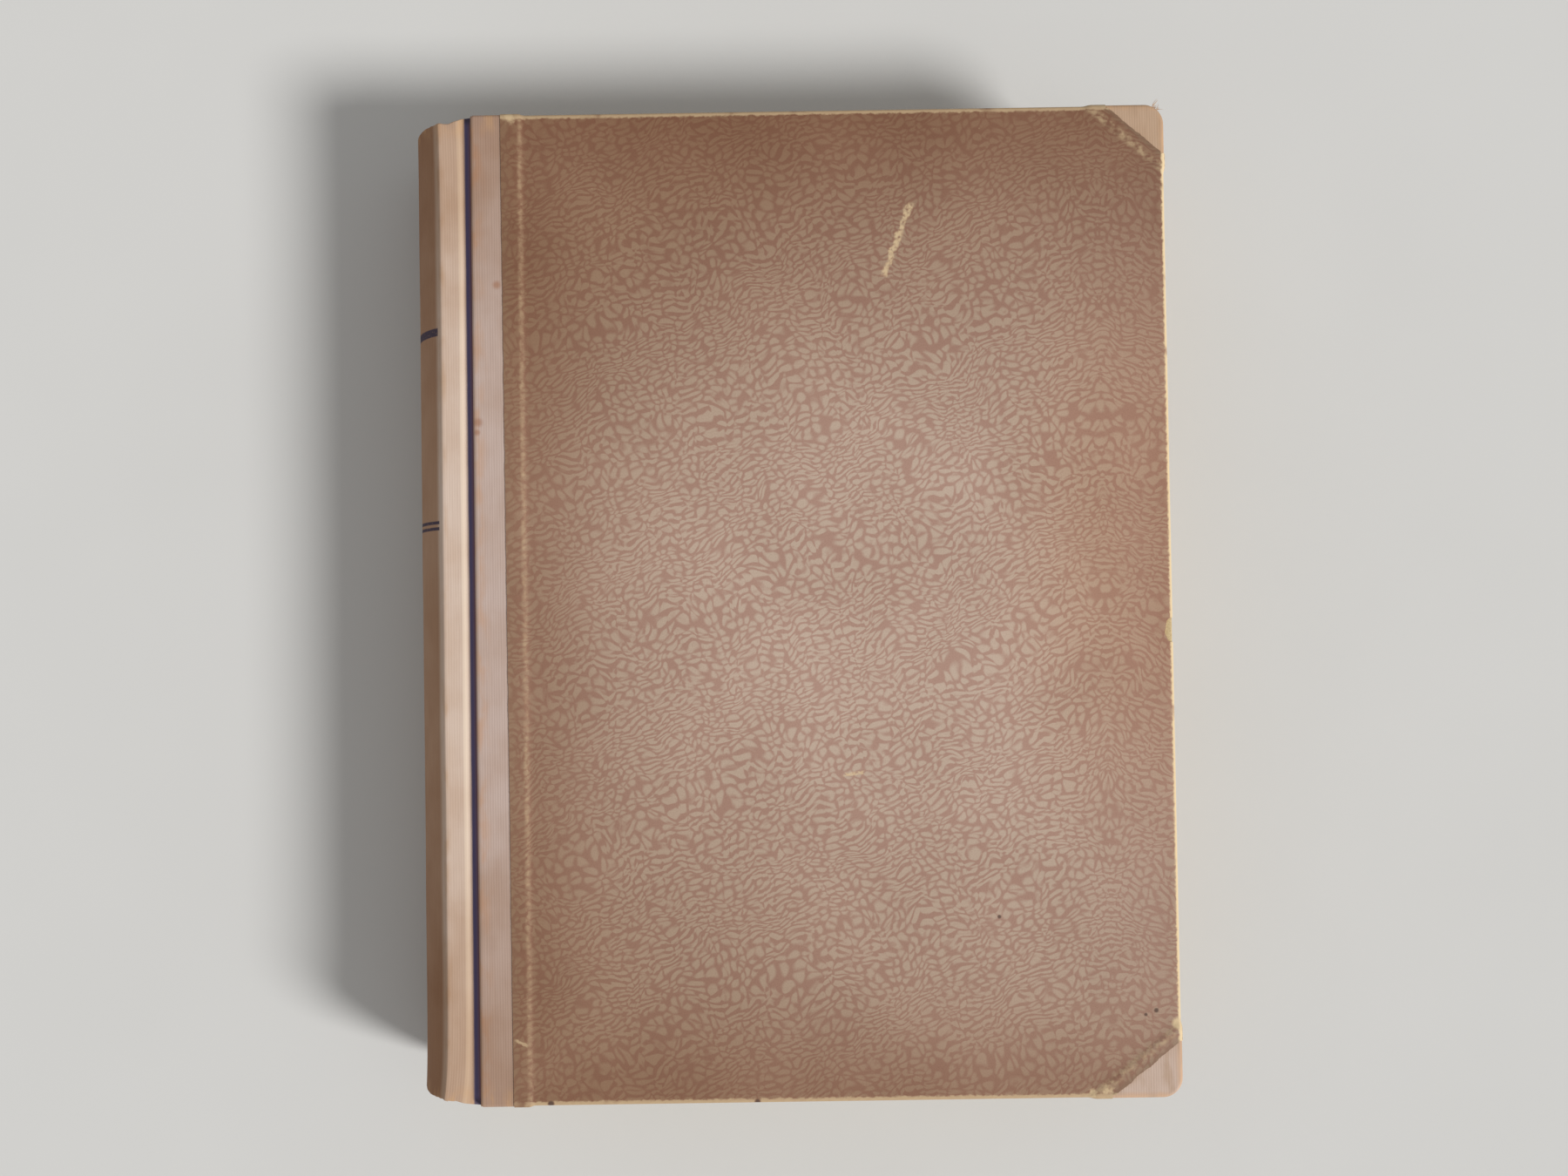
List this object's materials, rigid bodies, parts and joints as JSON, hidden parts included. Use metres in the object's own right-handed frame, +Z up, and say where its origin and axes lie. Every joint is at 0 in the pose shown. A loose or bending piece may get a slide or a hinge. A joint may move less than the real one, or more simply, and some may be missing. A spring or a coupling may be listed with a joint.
{
  "type": "hardcover book",
  "caption": "Old half-cloth hardcover book, ribbed cream cloth spine and corners with mottled brown paper sides; both covers hinge open on their cloth joints.",
  "frame": {"origin": "centre of the book's outline, on the plane its back cover rests on", "axes": "+X from the spine to the fore-edge, +Y from the tail to the head, +Z up through the thickness, front cover uppermost"},
  "size_m": [0.1893, 0.2462, 0.0401],
  "materials": {
    "pages": "cut page edges, cream and slightly browned",
    "endpaper": "plain matt cream endpaper",
    "gauze": "open-weave lining gauze",
    "liner": "brown lining paper",
    "card": "thin flexible card",
    "book_cloth": "cream book cloth with a fine rib, soiled and rubbed",
    "bands": "striped cotton band",
    "board": "grey-brown binder's board",
    "mottled_paper": "brown and olive mottled paper, rubbed pale along its edges"
  },
  "bodies": {
    "pages": {"text_block": "pages", "front_flyleaf": "endpaper", "back_flyleaf": "endpaper", "spine_gauze": "gauze", "spine_liner": "liner", "spine_card": "card", "spine_cloth": "book_cloth", "head_band": "bands", "tail_band": "bands"},
    "front_cover": {"front_board": "board", "front_joint_cloth": "book_cloth", "front_head_corner": "book_cloth", "front_tail_corner": "book_cloth", "front_side_paper": "mottled_paper", "front_pastedown": "endpaper"},
    "back_cover": {"back_board": "board", "back_joint_cloth": "book_cloth", "back_head_corner": "book_cloth", "back_tail_corner": "book_cloth", "back_side_paper": "mottled_paper", "back_pastedown": "endpaper"}
  },
  "joints": [
    {"name": "front_cover_hinge", "type": "hinge", "parent": "pages", "child": "front_cover", "pos_m": [-0.08205, 0, 0.0399], "axis": [0, -1, 0], "range_deg": [0, 178]},
    {"name": "back_cover_hinge", "type": "hinge", "parent": "pages", "child": "back_cover", "pos_m": [-0.08205, 0, 0.0002], "axis": [0, 1, 0], "range_deg": [0, 178]}
  ]
}
